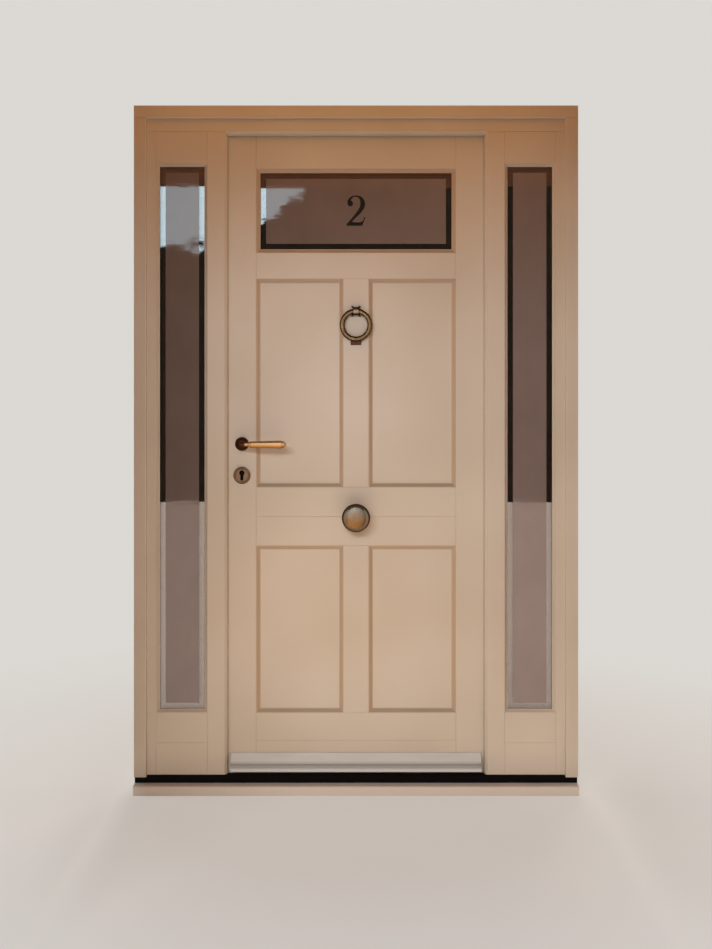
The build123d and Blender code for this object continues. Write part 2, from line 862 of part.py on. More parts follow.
def cylinder_plug():
    """The plug with its keyway outside, its cam in the lock and its thumb turn inside."""
    plug_end = cylinder_back + cylinder_stand
    grip_start = plug_end + thumb_turn_collar
    grip_end = plug_end + thumb_turn_reach
    body = through(Circle(plug_radius), lock_x, cylinder_z, cylinder_front, plug_end)
    keyway = Rectangle(keyway_width, keyway_height)
    body -= through(keyway, lock_x, cylinder_z, cylinder_front - over, leaf_middle - keyway_stop)
    drop = cam_radius - cam_room
    cam = Circle(plug_radius + cam_room) + Pos(0, -drop / 2) * Rectangle(cam_width, drop)
    body += through(cam, lock_x, cylinder_z, leaf_middle - cam_thickness / 2, leaf_middle + cam_thickness / 2)
    collar = through(Circle(thumb_turn_collar_radius), lock_x, cylinder_z, plug_end, grip_start)
    oval = Ellipse(thumb_turn_width / 2, thumb_turn_height / 2)
    grip = through(oval, lock_x, cylinder_z, grip_start, grip_end)
    grip = chamfer(edges_at(grip, Axis.Y, grip_end), thumb_turn_edge)
    return body + collar + grip


def strike_plate():
    return cut(strike_plate_block(), strike_pockets())


# Hinges

def knuckle_spans(which, middle):
    """Heights of the knuckles on one plate: even ones on the frame, odd ones on the leaf."""
    pitch = hinge_length / knuckle_count
    low = middle - hinge_length / 2
    for index in range(knuckle_count):
        if index % 2 == which:
            yield low + index * pitch + knuckle_gap / 2, low + (index + 1) * pitch - knuckle_gap / 2


def hinge_plate_place(which, middle):
    """Across, front edge and height span of a plate: 0 on the frame's side, 1 on the leaf's."""
    side = 1 if which == 0 else -1
    inner = hinge_x + side * hinge_parting / 2
    front = hinge_y - knuckle_radius - knuckle_relief - hinge_plate_width
    span = (middle - hinge_length / 2, middle + hinge_length / 2)
    return (inner, inner + side * hinge_plate), front, span


def hinge_half(which, middle):
    """One plate and its knuckles, on the frame's side of the parting or on the leaf's."""
    across, front, span = hinge_plate_place(which, middle)
    plate_back = hinge_y - knuckle_radius - knuckle_relief
    half = block(across, (front, plate_back), span)
    for low, high in knuckle_spans(which, middle):
        half += block(across, (plate_back - over, hinge_y), (low, high))
        half += Pos(hinge_x, hinge_y, (low + high) / 2) * Cylinder(knuckle_radius, high - low)
    bore = Cylinder(pin_radius + running_clearance, hinge_length + 2 * over)
    return half - Pos(hinge_x, hinge_y, middle) * bore


def hinge_pin(middle):
    pin = Cylinder(pin_radius, hinge_length)
    head_rise = (hinge_length + pin_head) / 2
    for rise in (-head_rise, head_rise):
        pin += Pos(0, 0, rise) * Cylinder(pin_head_radius, pin_head)
    return Pos(hinge_x, hinge_y, middle) * pin


def hinge_middles():
    return [leaf_bottom + height for height in hinge_heights]


def hinge_recess(which, middle):
    """The housing for a plate, cut in the timber behind it."""
    across, front, span = hinge_plate_place(which, middle)
    return block(across, (front, hinge_y), span)


# Knocker and knob

def knocker_ring():
    return Pos(0, ring_y, ring_z) * Rot(90, 0, 0) * Torus(ring_radius, ring_section)


def strap_arch(radius, half_width):
    """A round top that runs straight back to the leaf's face, seen from the side."""
    back = leaf_front - ring_y
    section = Circle(radius) + Pos(back / 2, 0) * Rectangle(back, 2 * radius)
    return extrude(Plane.YZ.offset(-half_width) * Pos(ring_y, ring_top) * section, amount=2 * half_width)


def knocker_strap():
    """A waisted strap over the top of the ring, with a foot above it and one below."""
    inner = ring_section + strap_gap
    outer = inner + strap_thickness
    foot = outer + strap_foot_height
    feet = block(
        (-strap_foot, strap_foot),
        (leaf_front - strap_foot_thickness, leaf_front),
        (ring_top - foot, ring_top + foot),
    )
    body = strap_arch(outer, strap_foot) + feet - strap_arch(inner, strap_foot + over)
    outline = make_face(
        [
            Line((-strap_foot, -foot), (strap_foot, -foot)),
            ThreePointArc((strap_foot, -foot), (strap_waist, 0), (strap_foot, foot)),
            Line((strap_foot, foot), (-strap_foot, foot)),
            ThreePointArc((-strap_foot, foot), (-strap_waist, 0), (-strap_foot, -foot)),
        ]
    )
    return body & through(outline, 0, ring_top, ring_y - 2 * outer, leaf_front)


def knocker_strike():
    """The pad that the ring falls on."""
    low = ring_z - ring_radius - ring_section - strike_pad_drop
    half = strike_pad_width / 2
    front = leaf_front - strike_pad_thickness
    return ease(block((-half, half), (front, leaf_front), (low, low + strike_pad_height)), (Axis.Y, front))


def centre_knob():
    """A turned knob: a moulded base, a waisted neck and a domed head."""
    base = knob_base_diameter / 2
    neck = knob_neck_diameter / 2
    head_radius = knob_diameter / 2
    reach = knob_projection
    girth = reach - head_radius * 0.62
    under = girth * 0.72
    step = knob_base_thickness
    outline = Polyline(
        (0, -reach), (0, 0), (base, 0), (base, -step), (base - 3, -step - 3), (base - 6, -step - 3),
        (neck + 3, -step - 9), (neck, -step - 14), (neck + 1, -under),
    )
    shoulder = Spline((neck + 1, -under), (head_radius, -girth), tangents=((1, -0.25), (0, -1)))
    dome = Spline((head_radius, -girth), (0, -reach), tangents=((0, -1), (-1, 0)))
    face = make_face([outline, shoulder, dome])
    return Pos(0, leaf_front, lock_joint) * revolve(face, Axis.Y)


def hinged(solid, which):
    """Cuts the hinge housings for one side into a piece."""
    return cut(solid, [hinge_recess(which, middle) for middle in hinge_middles()])


def build():
    """Every sub-part by name; a list is a group of separate solids."""
    parts = {}
    parts["sill"] = sill()
    parts["threshold"] = threshold()

    jamb = outer_jamb_right()
    parts["outer_jamb_left"] = mirrored(jamb)
    parts["outer_jamb_right"] = jamb
    post = mullion_left()
    parts["mullion_left"] = cut(post, [strike_plate_block(), *strike_pockets()])
    parts["mullion_right"] = hinged(mirrored(post), 0)
    parts["head"] = head()

    rails = {
        "side_top_rail": (side_glass_top, head_bottom),
        "side_lower_rail": (side_base_top, side_glass_bottom),
        "side_base_rail": (threshold_top, side_base_top),
    }
    for name, (low, high) in rails.items():
        piece = side_rail(low, high)
        parts[name + "_left"] = mirrored(piece)
        parts[name + "_right"] = piece

    strip = cover_strip_right()
    parts["cover_strip_left"] = mirrored(strip)
    parts["cover_strip_right"] = strip
    parts["cover_strip_top"] = cover_strip_top()
    parts["weather_seal"] = weather_seal()

    panes = glass_unit(*side_opening_right, side_glass_front, side_cavity)
    spacer = glass_spacer(*side_opening_right, side_glass_front, side_cavity)
    beads = side_beads_right()
    parts["side_glass_left"] = [mirrored(pane) for pane in panes]
    parts["side_glass_right"] = panes
    parts["side_spacers"] = [mirrored(spacer), spacer]
    parts["side_beads_left"] = [mirrored(bead) for bead in beads]
    parts["side_beads_right"] = beads

    parts["lock_stile"] = lock_stile()
    parts["hinge_stile"] = hinged(stile_right(), 1)
    parts["bottom_rail_board"] = rail(leaf_bottom, bottom_joint)
    parts["bottom_rail"] = rail(bottom_joint, lower_panel_bottom, ("top",))
    parts["lock_rail_lower"] = rail(lower_panel_top, lock_joint, ("bottom",))
    parts["lock_rail_upper"] = rail(lock_joint, upper_panel_bottom, ("top",))
    parts["frieze_rail"] = rail(upper_panel_top, top_light_bottom, ("bottom",))
    parts["top_rail"] = rail(top_light_top, leaf_top)
    parts["lower_muntin"] = muntin(lower_panel_bottom, lower_panel_top)
    parts["upper_muntin"] = muntin(upper_panel_bottom, upper_panel_top)
    pairs = {
        "lower_panel": (lower_panel_bottom, lower_panel_top),
        "upper_panel": (upper_panel_bottom, upper_panel_top),
    }
    for name, (low, high) in pairs.items():
        piece = panel(low, high)
        parts[name + "_left"] = mirrored(piece)
        parts[name + "_right"] = piece
    parts["outside_mouldings"] = outside_mouldings()
    parts["inside_mouldings"] = inside_mouldings()
    parts["top_light_glass"] = glass_unit(*top_light, door_glass_front, door_cavity)
    parts["top_light_spacer"] = glass_spacer(*top_light, door_glass_front, door_cavity)
    parts["weatherboard"] = weatherboard()

    parts["lock_case"] = lock_case()
    parts["latch_bolt"] = latch_bolt()
    parts["dead_bolt"] = dead_bolt()
    parts["strike_plate"] = strike_plate()
    parts["rose_outside"] = rose_outside()
    parts["escutcheon_outside"] = escutcheon_outside()
    parts["inside_backplate"] = inside_backplate()
    parts["lever_outside"] = lever_outside()
    parts["lever_inside"] = lever_inside()
    parts["spindle"] = spindle()
    parts["cylinder_body"] = cylinder_body()
    parts["cylinder_plug"] = cylinder_plug()

    middles = hinge_middles()
    parts["hinge_frame_plates"] = [hinge_half(0, middle) for middle in middles]
    parts["hinge_leaf_plates"] = [hinge_half(1, middle) for middle in middles]
    parts["hinge_pins"] = [hinge_pin(middle) for middle in middles]

    parts["knocker_strap"] = knocker_strap()
    parts["knocker_ring"] = knocker_ring()
    parts["knocker_strike"] = knocker_strike()
    parts["centre_knob"] = centre_knob()
    return parts


os.makedirs("parts", exist_ok=True)
for name, shape in build().items():
    shapes = shape if isinstance(shape, list) else [shape]
    solids = [solid for item in shapes for solid in item.solids()]
    export_step(Compound(children=solids), f"parts/{name}.step")
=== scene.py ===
"""Dresses a panelled timber front door and its glazed frame for a studio picture."""
from math import pi

import bmesh
import bpy
from bpy.props import FloatProperty, FloatVectorProperty, PointerProperty
from mathutils import Matrix, Vector


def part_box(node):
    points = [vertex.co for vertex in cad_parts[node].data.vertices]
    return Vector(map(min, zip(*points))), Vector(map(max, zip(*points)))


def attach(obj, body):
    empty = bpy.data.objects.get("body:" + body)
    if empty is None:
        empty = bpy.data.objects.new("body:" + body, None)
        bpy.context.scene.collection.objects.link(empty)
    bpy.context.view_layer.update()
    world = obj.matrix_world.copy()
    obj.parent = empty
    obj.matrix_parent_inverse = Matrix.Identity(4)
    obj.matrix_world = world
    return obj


bl_info = {
    "name": "Panelled Front Door",
    "version": (1, 0, 0),
    "blender": (4, 5, 0),
    "location": "3D View > Sidebar > Front Door",
    "description": "Paint, glass, metal and small fittings for a front door with side lights",
    "category": "Object",
}

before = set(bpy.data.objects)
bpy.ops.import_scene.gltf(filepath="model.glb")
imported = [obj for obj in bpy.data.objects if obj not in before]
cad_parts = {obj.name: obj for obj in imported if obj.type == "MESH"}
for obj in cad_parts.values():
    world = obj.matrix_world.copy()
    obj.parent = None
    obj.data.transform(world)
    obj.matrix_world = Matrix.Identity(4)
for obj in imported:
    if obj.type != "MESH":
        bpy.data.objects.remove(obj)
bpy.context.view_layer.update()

MM = 0.001

# How far a bead covers the edge of a pane: its width, less the gap between pane and timber
PANE_GAP = 3 * MM
SIDE_COVER = 10 * MM - PANE_GAP
DOOR_COVER = 13 * MM - PANE_GAP

# The numeral as it is drawn below, in millimetres
NUMERAL_WIDTH, NUMERAL_HEIGHT = 60, 97

# The picture's height in pixels
PICTURE_HEIGHT = 949


def linear(colour):
    """An sRGB hex colour as linear red, green, blue and alpha."""
    channels = [int(colour[place:place + 2], 16) / 255 for place in (1, 3, 5)]
    return (*[c / 12.92 if c <= 0.04045 else ((c + 0.055) / 1.055) ** 2.4 for c in channels], 1.0)


def colour_property(name, description, colour):
    return FloatVectorProperty(
        name=name, description=description, subtype="COLOR", size=4, min=0, max=1, default=linear(colour)
    )


def length_property(name, description, millimetres):
    return FloatProperty(
        name=name, description=description, unit="LENGTH", min=0, default=millimetres * MM
    )


def power_property(name, description, watts):
    return FloatProperty(name=name, description=description, unit="POWER", min=0, default=watts)


# Settings

class DoorColours(bpy.types.PropertyGroup):
    """Colours of the paint, glass and metals."""

    paint_light: colour_property("Paint, light", "Where the paint film is thickest", "#c8bba7")
    paint_dark: colour_property("Paint, dark", "Where the paint film is thinnest", "#bfb19b")
    # The mouldings' paint is darker and browner as painted shade, and their ledges that face up go grey as
    # painted cool light from above
    moulding_shaded_paint: colour_property("Moulding paint", "Paint in the mouldings, darkened as painted shade", "#b29a7e")
    moulding_cool_light: colour_property("Moulding cool light", "Grey on the ledges that face up, painted cool light", "#898474")
    sill_paint: colour_property("Sill paint", "Paint of the sill", "#e2d3bf")
    sill_top_grey: colour_property("Sill top grey", "Grey film on surfaces that face up", "#aea59c")
    # The weatherboard's grey is painted cool light, and its hollow's darker tone is painted shade
    board_cool_lit_paint: colour_property("Weatherboard paint", "Weatherboard paint, greyed as painted cool light", "#cbcdc6")
    board_hollow_shade: colour_property("Weatherboard hollow shade", "Painted shade in its hollow, and a few grey blots on top", "#9a958c")
    threshold: colour_property("Threshold", "Black powder coat", "#070506")
    rubber: colour_property("Rubber", "Weather seal and glazing tape", "#14110f")
    spacer: colour_property("Spacer bar", "Bar between the panes", "#2a2725")
    clear_glass: colour_property("Outer pane", "Clear pane on the outside", "#eef2ef")
    dark_glass: colour_property("Inner pane", "Bronze tinted pane on the room side", "#2b1f18")
    # The etched field goes from the left tone to the right one across the frame: painted light, brighter on
    # the right
    etched: colour_property("Etched glass, right", "Field of the etched panes, at the right", "#82726a")
    etched_dark: colour_property("Etched glass, left", "Field of the etched panes, at the left", "#6c5e56")
    bronze_worn: colour_property("Bronze, worn", "Where hands keep the metal bright", "#dcae70")
    # The aged and dark bronze tones also serve as painted shade on rims and on faces turned sideways
    bronze_aged: colour_property("Bronze, aged", "Brown patina", "#5c3a22")
    bronze_dark: colour_property("Bronze, dark", "Almost black patina, also painted shade on rims and sideways faces", "#33190a")
    bronze_dull: colour_property("Bronze, dulled", "Grey brown film on the plates", "#a88f70")
    bronze_turned: colour_property("Bronze, turned", "Paler bronze of the centre knob", "#a2957c")
    # The cylinder is near black as painted shade, standing for a deep dark keyhole
    cylinder: colour_property("Cylinder", "Brass of the lock cylinder, darkened as painted shade of its recess", "#1c1611")
    steel: colour_property("Steel", "Hinges, bolts and strike plate", "#8d8880")
    recess: colour_property("Screw recess", "Shadow in the screw heads", "#1a1715")


class DoorSizes(bpy.types.PropertyGroup):
    """Sizes of the pieces that are added to the modelled door."""

    etched_margin: length_property("Clear border", "Width of clear glass round an etched field", 18)
    etched_thickness: length_property("Etched layer", "Thickness of the etched layer", 0.2)
    numeral_height: length_property("Numeral height", "Height of the house number", 97)
    numeral_rise: length_property("Numeral level", "Middle of the house number above the floor", 1847)
    tape_width: length_property("Glazing tape", "How far the tape shows past the bead", 0.8)
    tape_thickness: length_property("Tape thickness", "Thickness of the tape on each pane", 0.25)
    hinge_screw: length_property("Hinge screw", "Diameter of a hinge screw's head", 8)
    plate_screw: length_property("Plate screw", "Diameter of the screw heads in the lock plates", 7.5)


class StageSettings(bpy.types.PropertyGroup):
    """Camera, floor, cards and lamps."""

    camera_distance: length_property("Camera distance", "From the frame's outer face", 3478)
    camera_height: length_property("Camera height", "Above the floor", 1242)
    focal_pixels: FloatProperty(
        name="Focal length", description=f"In pixels of a picture {PICTURE_HEIGHT} high", default=1100
    )
    horizon: FloatProperty(
        name="Horizon", description=f"Pixels from the top of a picture {PICTURE_HEIGHT} high", default=400
    )
    sky_power: power_property("Sky light", "Power of the wide lamp in front", 187)
    high_power: power_property("High light", "Power of the cool lamp above it", 112)
    ground_power: power_property("Ground light", "Power of the light from the ground", 30)
    overhead_power: power_property("Overhead light", "Power of the warm light from above", 11)
    side_power: power_property("Side light", "Power of each lamp at the sides", 60)
    back_power: power_property("Back light", "Power of the lamp behind the door", 230)
    surround_fill: FloatProperty(
        name="Surround", description="Light from all round", min=0, max=2, default=0.03
    )
    floor: colour_property("Floor", "Pale floor", "#dcd6ce")
    background: colour_property("Background", "Pale surroundings", "#e6e3de")
    warm_glow: colour_property("Warm glow", "Lower half of the screen that metals mirror", "#d09a68")
    cool_glow: colour_property("Cool glow", "Upper half of the screen that metals mirror", "#d2dbee")
    ground: colour_property("Ground", "Warm ground that only reflections see", "#e8cfc0")
    overhead: colour_property("Overhead card", "Brown card over the door", "#6b4530")
    beside: colour_property("Side cards", "Brown cards beside the frame", "#965a2c")
    mirrored_low: colour_property("Mirrored, low", "Dark part that only reflections see", "#2e261f")
    mirrored_high: colour_property("Mirrored, high", "Bright part that only reflections see", "#d5e8f2")


# Patterns

def add_node(tree, kind, settings=(), links=()):
    """Adds a node; capitalised names and numbers are its inputs, other names its own settings.

    A link comes from a socket, or from a node, which stands for the first output in use.
    """
    node = tree.nodes.new(kind)
    for name, value in dict(settings).items():
        if isinstance(name, int) or name[0].isupper():
            node.inputs[name].default_value = value
        else:
            setattr(node, name, value)
    for name, source in dict(links).items():
        if isinstance(source, bpy.types.Node):
            source = next(output for output in source.outputs if output.enabled)
        tree.links.new(source, node.inputs[name])
    return node


def clouds(tree, size, *ranges, detail=2.0, roughness=0.5):
    """Noise whose features have the given size in millimetres along each axis of the piece.

    It gives the plain noise, most of which lies between 0.3 and 0.7, and after it a copy
    stretched to each range.
    """
    place = add_node(tree, "ShaderNodeTexCoord").outputs["Object"]
    scale = [1 / (length * MM) for length in size]
    scaled = add_node(tree, "ShaderNodeMapping", {"Scale": scale}, {"Vector": place})
    noise = add_node(
        tree, "ShaderNodeTexNoise", {"Scale": 1.0, "Detail": detail, "Roughness": roughness},
        {"Vector": scaled},
    )
    stretched = [
        add_node(
            tree, "ShaderNodeMapRange",
            {"From Min": 0.3, "From Max": 0.7, "To Min": low, "To Max": high}, {"Value": noise},
        )
        for low, high in ranges
    ]
    return noise, *stretched


def two_tones(tree, size, first, second, most=1.0, detail=2.0):
    """A colour that drifts in clouds from the first tone to a share of the second."""
    share = clouds(tree, size, (0.0, most), detail=detail)[1]
    return add_node(tree, "ShaderNodeMix", {"data_type": "RGBA", 6: first, 7: second}, {0: share})


def ramp(tree, kind, axis, start, end, low=0.0, high=1.0, middle=None):
    """A value that goes from low to high as the piece goes from start to end along an axis.

    Kind is Object for a place in metres, and Normal for the way that the surface faces. Where
    a middle is given, what counts is how far it is from there, either way.
    """
    source = add_node(tree, "ShaderNodeTexCoord").outputs[kind]
    value = add_node(tree, "ShaderNodeSeparateXYZ", links={"Vector": source}).outputs[axis]
    if middle is not None:
        offset = add_node(tree, "ShaderNodeMath", {"operation": "SUBTRACT", 1: middle}, {0: value})
        value = add_node(tree, "ShaderNodeMath", {"operation": "ABSOLUTE"}, {0: offset})
    return add_node(
        tree, "ShaderNodeMapRange",
        {"From Min": start, "From Max": end, "To Min": low, "To Max": high}, {"Value": value},
    )


def toned(colour, factor):
    """A lighter or darker tone of a colour."""
    return (*[min(1.0, channel * factor) for channel in colour[:3]], 1.0)


# Finishes

def new_material(name):
    """A material with nothing in its node tree yet."""
    material = bpy.data.materials.new(name)
    material.use_nodes = True
    material.node_tree.nodes.clear()
    return material, material.node_tree


def completed(material, surface):
    """The material, with its surface joined to the output."""
    add_node(material.node_tree, "ShaderNodeOutputMaterial", links={"Surface": surface})
    return material


def material_named(name):
    material = bpy.data.materials.get(name)
    if material is None:
        raise RuntimeError(f"the finish {name} hasn't been made yet")
    return material


def paint(name, grain_axis, light, dark):
    """Satin microporous paint, brushed on planed softwood.

    It gives a soft sheen, a tone that drifts a little from board to board, and faint brush
    lines along the grain. The lines are 1 mm wide in life and are drawn 5 mm wide to show.
    """
    material, tree = new_material(name)
    size = [500 if axis == grain_axis else 5 for axis in "XYZ"]
    drift = two_tones(tree, (350, 350, 350), dark, light, detail=1.0)
    lines, streaks, rough = clouds(tree, size, (0.0, 0.12), (0.38, 0.46), detail=3.0, roughness=0.6)
    tone = add_node(tree, "ShaderNodeMix", {"data_type": "RGBA", 7: dark}, {0: streaks, 6: drift})
    relief = add_node(tree, "ShaderNodeBump", {"Strength": 0.25, "Distance": 0.3 * MM}, {"Height": lines})
    shader = add_node(
        tree, "ShaderNodeBsdfPrincipled", {"Roughness": 0.42, "IOR": 1.48},
        {"Base Color": tone, "Roughness": rough, "Normal": relief},
    )
    return completed(material, shader)


def greyed_paint(name, colour, film_tone, share, hollow=None):
    """The same satin paint, greyer where it faces up and darker in a hollow.

    Surfaces that face up hold a thin grey film, in blots about 30 mm across, over a share of them; on the
    mouldings it is painted cool light from above. A hollow between two heights in metres is darkened
    whichever way it faces, as painted shade.
    """
    material, tree = new_material(name)
    blots = ((share - 0.12, share + 0.12), (0.42, 0.6))
    _, patchy, rough = clouds(tree, (90, 30, 30), *blots, detail=3.0)
    # Grey where the surface faces up: on the mouldings, painted cool light from above
    up = ramp(tree, "Normal", "Z", 0.1, 1.0)
    film = add_node(tree, "ShaderNodeMath", {"operation": "MULTIPLY"}, {0: up, 1: patchy})
    # The hollow's darker tone is painted shade
    if hollow:
        middle, reach = sum(hollow) / 2, (hollow[1] - hollow[0]) / 2
        hollow_shade_ramp = ramp(tree, "Object", "Z", reach, reach * 0.2, middle=middle)
        film = add_node(tree, "ShaderNodeMath", {"operation": "MAXIMUM"}, {0: film, 1: hollow_shade_ramp})
    tone = add_node(tree, "ShaderNodeMix", {"data_type": "RGBA", 6: colour, 7: film_tone}, {0: film})
    lines = clouds(tree, (500, 6, 6))[0]
    relief = add_node(tree, "ShaderNodeBump", {"Strength": 0.25, "Distance": 0.3 * MM}, {"Height": lines})
    shader = add_node(
        tree, "ShaderNodeBsdfPrincipled", {"IOR": 1.48},
        {"Base Color": tone, "Roughness": rough, "Normal": relief},
    )
    return completed(material, shader)


def powder_coat(colour):
    """Black powder coat on aluminium: an even fine orange peel about 2 mm across."""
    material, tree = new_material("black powder coat")
    scuffs = clouds(tree, (120, 20, 20), (0.32, 0.55), detail=3.0)[1]
    peel = clouds(tree, (2, 2, 2), detail=1.0)[0]
    relief = add_node(tree, "ShaderNodeBump", {"Strength": 0.3, "Distance": 0.1 * MM}, {"Height": peel})
    shader = add_node(
        tree, "ShaderNodeBsdfPrincipled", {"Base Color": colour, "IOR": 1.5, "Specular IOR Level": 0.1},
        {"Roughness": scuffs, "Normal": relief},
    )
    return completed(material, shader)


def rubber(colour):
    """Extruded EPDM rubber: matt and near black, with a dusty bloom in patches."""
    material, tree = new_material("extruded rubber")
    bloom = two_tones(tree, (40, 40, 40), colour, toned(colour, 2.5), most=0.6, detail=3.0)
    shader = add_node(
        tree, "ShaderNodeBsdfPrincipled", {"Roughness": 0.75, "IOR": 1.5}, {"Base Color": bloom}
    )
    return completed(material, shader)


def float_glass(name, clear, dark, split):
    """Float glass with a sun control coating: clear outside, bronze tinted inside.

    The coating is a thin metal oxide layer, which mirrors about a quarter of the light.
    The two panes of a unit are told apart by their depth, at the middle of the cavity.
    """
    material, tree = new_material(name)
    place = add_node(tree, "ShaderNodeTexCoord").outputs["Object"]
    depth = add_node(tree, "ShaderNodeSeparateXYZ", links={"Vector": place}).outputs["Y"]
    inner = add_node(tree, "ShaderNodeMath", {"operation": "GREATER_THAN", 1: split}, {0: depth})
    tint = add_node(tree, "ShaderNodeMix", {"data_type": "RGBA", 6: clear, 7: dark}, {0: inner})
    ripple = clouds(tree, (140, 140, 220), detail=1.0)[0]
    waves = add_node(tree, "ShaderNodeBump", {"Strength": 0.2, "Distance": 0.6 * MM}, {"Height": ripple})
    shader = add_node(
        tree, "ShaderNodeBsdfPrincipled",
        {
            "Roughness": 0.0, "IOR": 1.52, "Transmission Weight": 1.0,
            "Coat Weight": 1.0, "Coat IOR": 2.9, "Coat Roughness": 0.0,
        },
        {"Base Color": tint, "Normal": waves, "Coat Normal": waves},
    )
    return completed(material, shader)


def etched_glass(colour, thin):
    """Acid etched glass: a grey brown satin film under smooth glass.

    It is a little cloudy over 90 mm, and lighter towards the right of the frame, as painted light.
    """
    material, tree = new_material("acid etched glass")
    film = ((-0.15, 0.15), (0.02, 0.04))
    _, cloudy, rough = clouds(tree, (90, 90, 160), *film, detail=4.0, roughness=0.55)
    # Lighter towards the right of the frame: painted light
    across = ramp(tree, "Object", "X", -0.5, 0.5, 0.15, 0.85)
    cloud_and_light = add_node(
        tree, "ShaderNodeMath", {"operation": "ADD", "use_clamp": True}, {0: across, 1: cloudy}
    )
    # The left and right tones are mixed across the frame as painted light
    tone = add_node(tree, "ShaderNodeMix", {"data_type": "RGBA", 6: thin, 7: colour}, {0: cloud_and_light})
    ripple = clouds(tree, (50, 50, 12))[0]
    relief = add_node(tree, "ShaderNodeBump", {"Strength": 0.15, "Distance": 0.2 * MM}, {"Height": ripple})
    shader = add_node(
        tree, "ShaderNodeBsdfPrincipled", {"IOR": 2.3},
        {"Base Color": tone, "Roughness": rough, "Normal": relief},
    )
    return completed(material, shader)


def aged_bronze(name, worn, aged, wear, roughness, wear_and_shade):
    """Cast bronze, worn bright in places and browned by weather, under a thin film of wax.

    The patina lies in clouds about 12 mm across with a fine mottle, and is whole where the entries give no
    bright metal. Wear is the share of bright metal, from 0 to 1. Each entry of the last argument gives a
    coordinate or slope, with the values at which bright metal never and always reaches a spot: along the
    lever this is wear by hands, while the darkening of faces turned sideways, of rims and of the strap's
    edges is painted shade.
    """
    material, tree = new_material(name)
    patches = (max(0.0, wear - 0.12), min(1.0, wear + 0.12))
    share = clouds(tree, (12, 12, 12), patches, detail=4.0, roughness=0.6)[1]
    # Faces turned sideways, rims and the strap's edges go dark here: painted shade
    for kind, axis, never, always in wear_and_shade:
        reach = ramp(tree, kind, axis, never, always, middle=0.0)
        share = add_node(tree, "ShaderNodeMath", {"operation": "MULTIPLY"}, {0: share, 1: reach})
    tone = add_node(tree, "ShaderNodeMix", {"data_type": "RGBA", 6: aged, 7: worn}, {0: share})
    mottle, rough = clouds(tree, (3, 3, 3), (roughness - 0.06, roughness + 0.08))
    relief = add_node(tree, "ShaderNodeBump", {"Strength": 0.12, "Distance": 0.1 * MM}, {"Height": mottle})
    shader = add_node(
        tree, "ShaderNodeBsdfPrincipled",
        {
            "Metallic": 1.0, "Specular Tint": (0.45, 0.3, 0.2, 1.0),
            "Coat Weight": 0.1, "Coat IOR": 1.6, "Coat Roughness": 0.25,
        },
        {"Base Color": tone, "Roughness": rough, "Normal": relief},
    )
    return completed(material, shader)


def plain_metal(name, colour, roughness, line_axis):
    """Rolled and brushed metal: fine lines along one axis and a little tarnish.

    The lines are drawn 1 mm wide, coarser than in life, so that they show.
    """
    material, tree = new_material(name)
    size = [80 if axis == line_axis else 1 for axis in "XYZ"]
    tarnish = two_tones(tree, (20, 20, 20), colour, toned(colour, 0.55), most=0.8, detail=3.0)
    lines, rough = clouds(tree, size, (roughness - 0.08, roughness + 0.08))
    relief = add_node(tree, "ShaderNodeBump", {"Strength": 0.15, "Distance": 0.1 * MM}, {"Height": lines})
    shader = add_node(
        tree, "ShaderNodeBsdfPrincipled", {"Metallic": 1.0},
        {"Base Color": tarnish, "Roughness": rough, "Normal": relief},
    )
    return completed(material, shader)


def recess_shade_finish(colour):
    """The cross recess of a steel screw, as dark dull painted shade."""
    material, tree = new_material("painted screw recess shade")
    recess_roughness = clouds(tree, (4, 4, 4), (0.55, 0.85))[1]
    shader = add_node(
        tree, "ShaderNodeBsdfPrincipled", {"Base Color": colour, "Roughness": 0.7, "Metallic": 0.6},
        {"Roughness": recess_roughness},
    )
    return completed(material, shader)


# Small shapes

def add_object(name, shape, materials):
    """An object of the scene, made from a bmesh, with its materials."""
    mesh = bpy.data.meshes.new(name)
    shape.to_mesh(mesh)
    shape.free()
    if not mesh.polygons:
        raise RuntimeError(f"{name} came out empty")
    for material in materials:
        mesh.materials.append(material)
    made = bpy.data.objects.new(name, mesh)
    bpy.context.scene.collection.objects.link(made)
    return made


def add_piece(name, shape, materials, body):
    """A closed piece that rides on a body, with the slot that its finish belongs to."""
    bmesh.ops.remove_doubles(shape, verts=shape.verts, dist=0.001 * MM)
    bmesh.ops.recalc_face_normals(shape, faces=shape.faces)
    piece = add_object(name, shape, materials)
    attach(piece, body)


def rectangle(shape, size, place, turn, axis):
    """A flat rectangle, turned about an axis through its centre and then put in its place."""
    verts = bmesh.ops.create_grid(shape, x_segments=1, y_segments=1, size=0.5)["verts"]
    bmesh.ops.scale(shape, vec=(*size, 1), verts=verts)
    bmesh.ops.rotate(shape, cent=(0, 0, 0), matrix=Matrix.Rotation(turn, 3, axis), verts=verts)
    bmesh.ops.translate(shape, vec=place, verts=verts)
    return list({face for vert in verts for face in vert.link_faces})


def upright(shape, x, z, y):
    """A flat rectangle between limits in x and z, standing at a depth."""
    middle = ((x[0] + x[1]) / 2, y, (z[0] + z[1]) / 2)
    return rectangle(shape, (x[1] - x[0], z[1] - z[0]), middle, pi / 2, "X")


def thicken(shape, faces, depth):
    """Draws flat upright faces out to a thickness in depth."""
    raised = bmesh.ops.extrude_face_region(shape, geom=faces)
    new = [item for item in raised["geom"] if isinstance(item, bmesh.types.BMVert)]
    bmesh.ops.translate(shape, vec=(0, depth, 0), verts=new)


def border(shape, x, z, width, front, back):
    """A flat border inside a rectangle, its width inwards, with a thickness in depth."""
    centre = upright(shape, x, z, front)
    band = bmesh.ops.inset_region(
        shape, faces=centre, thickness=width, use_boundary=True, use_even_offset=True
    )["faces"]
    bmesh.ops.delete(shape, geom=centre, context="FACES_ONLY")
    thicken(shape, band, back - front)


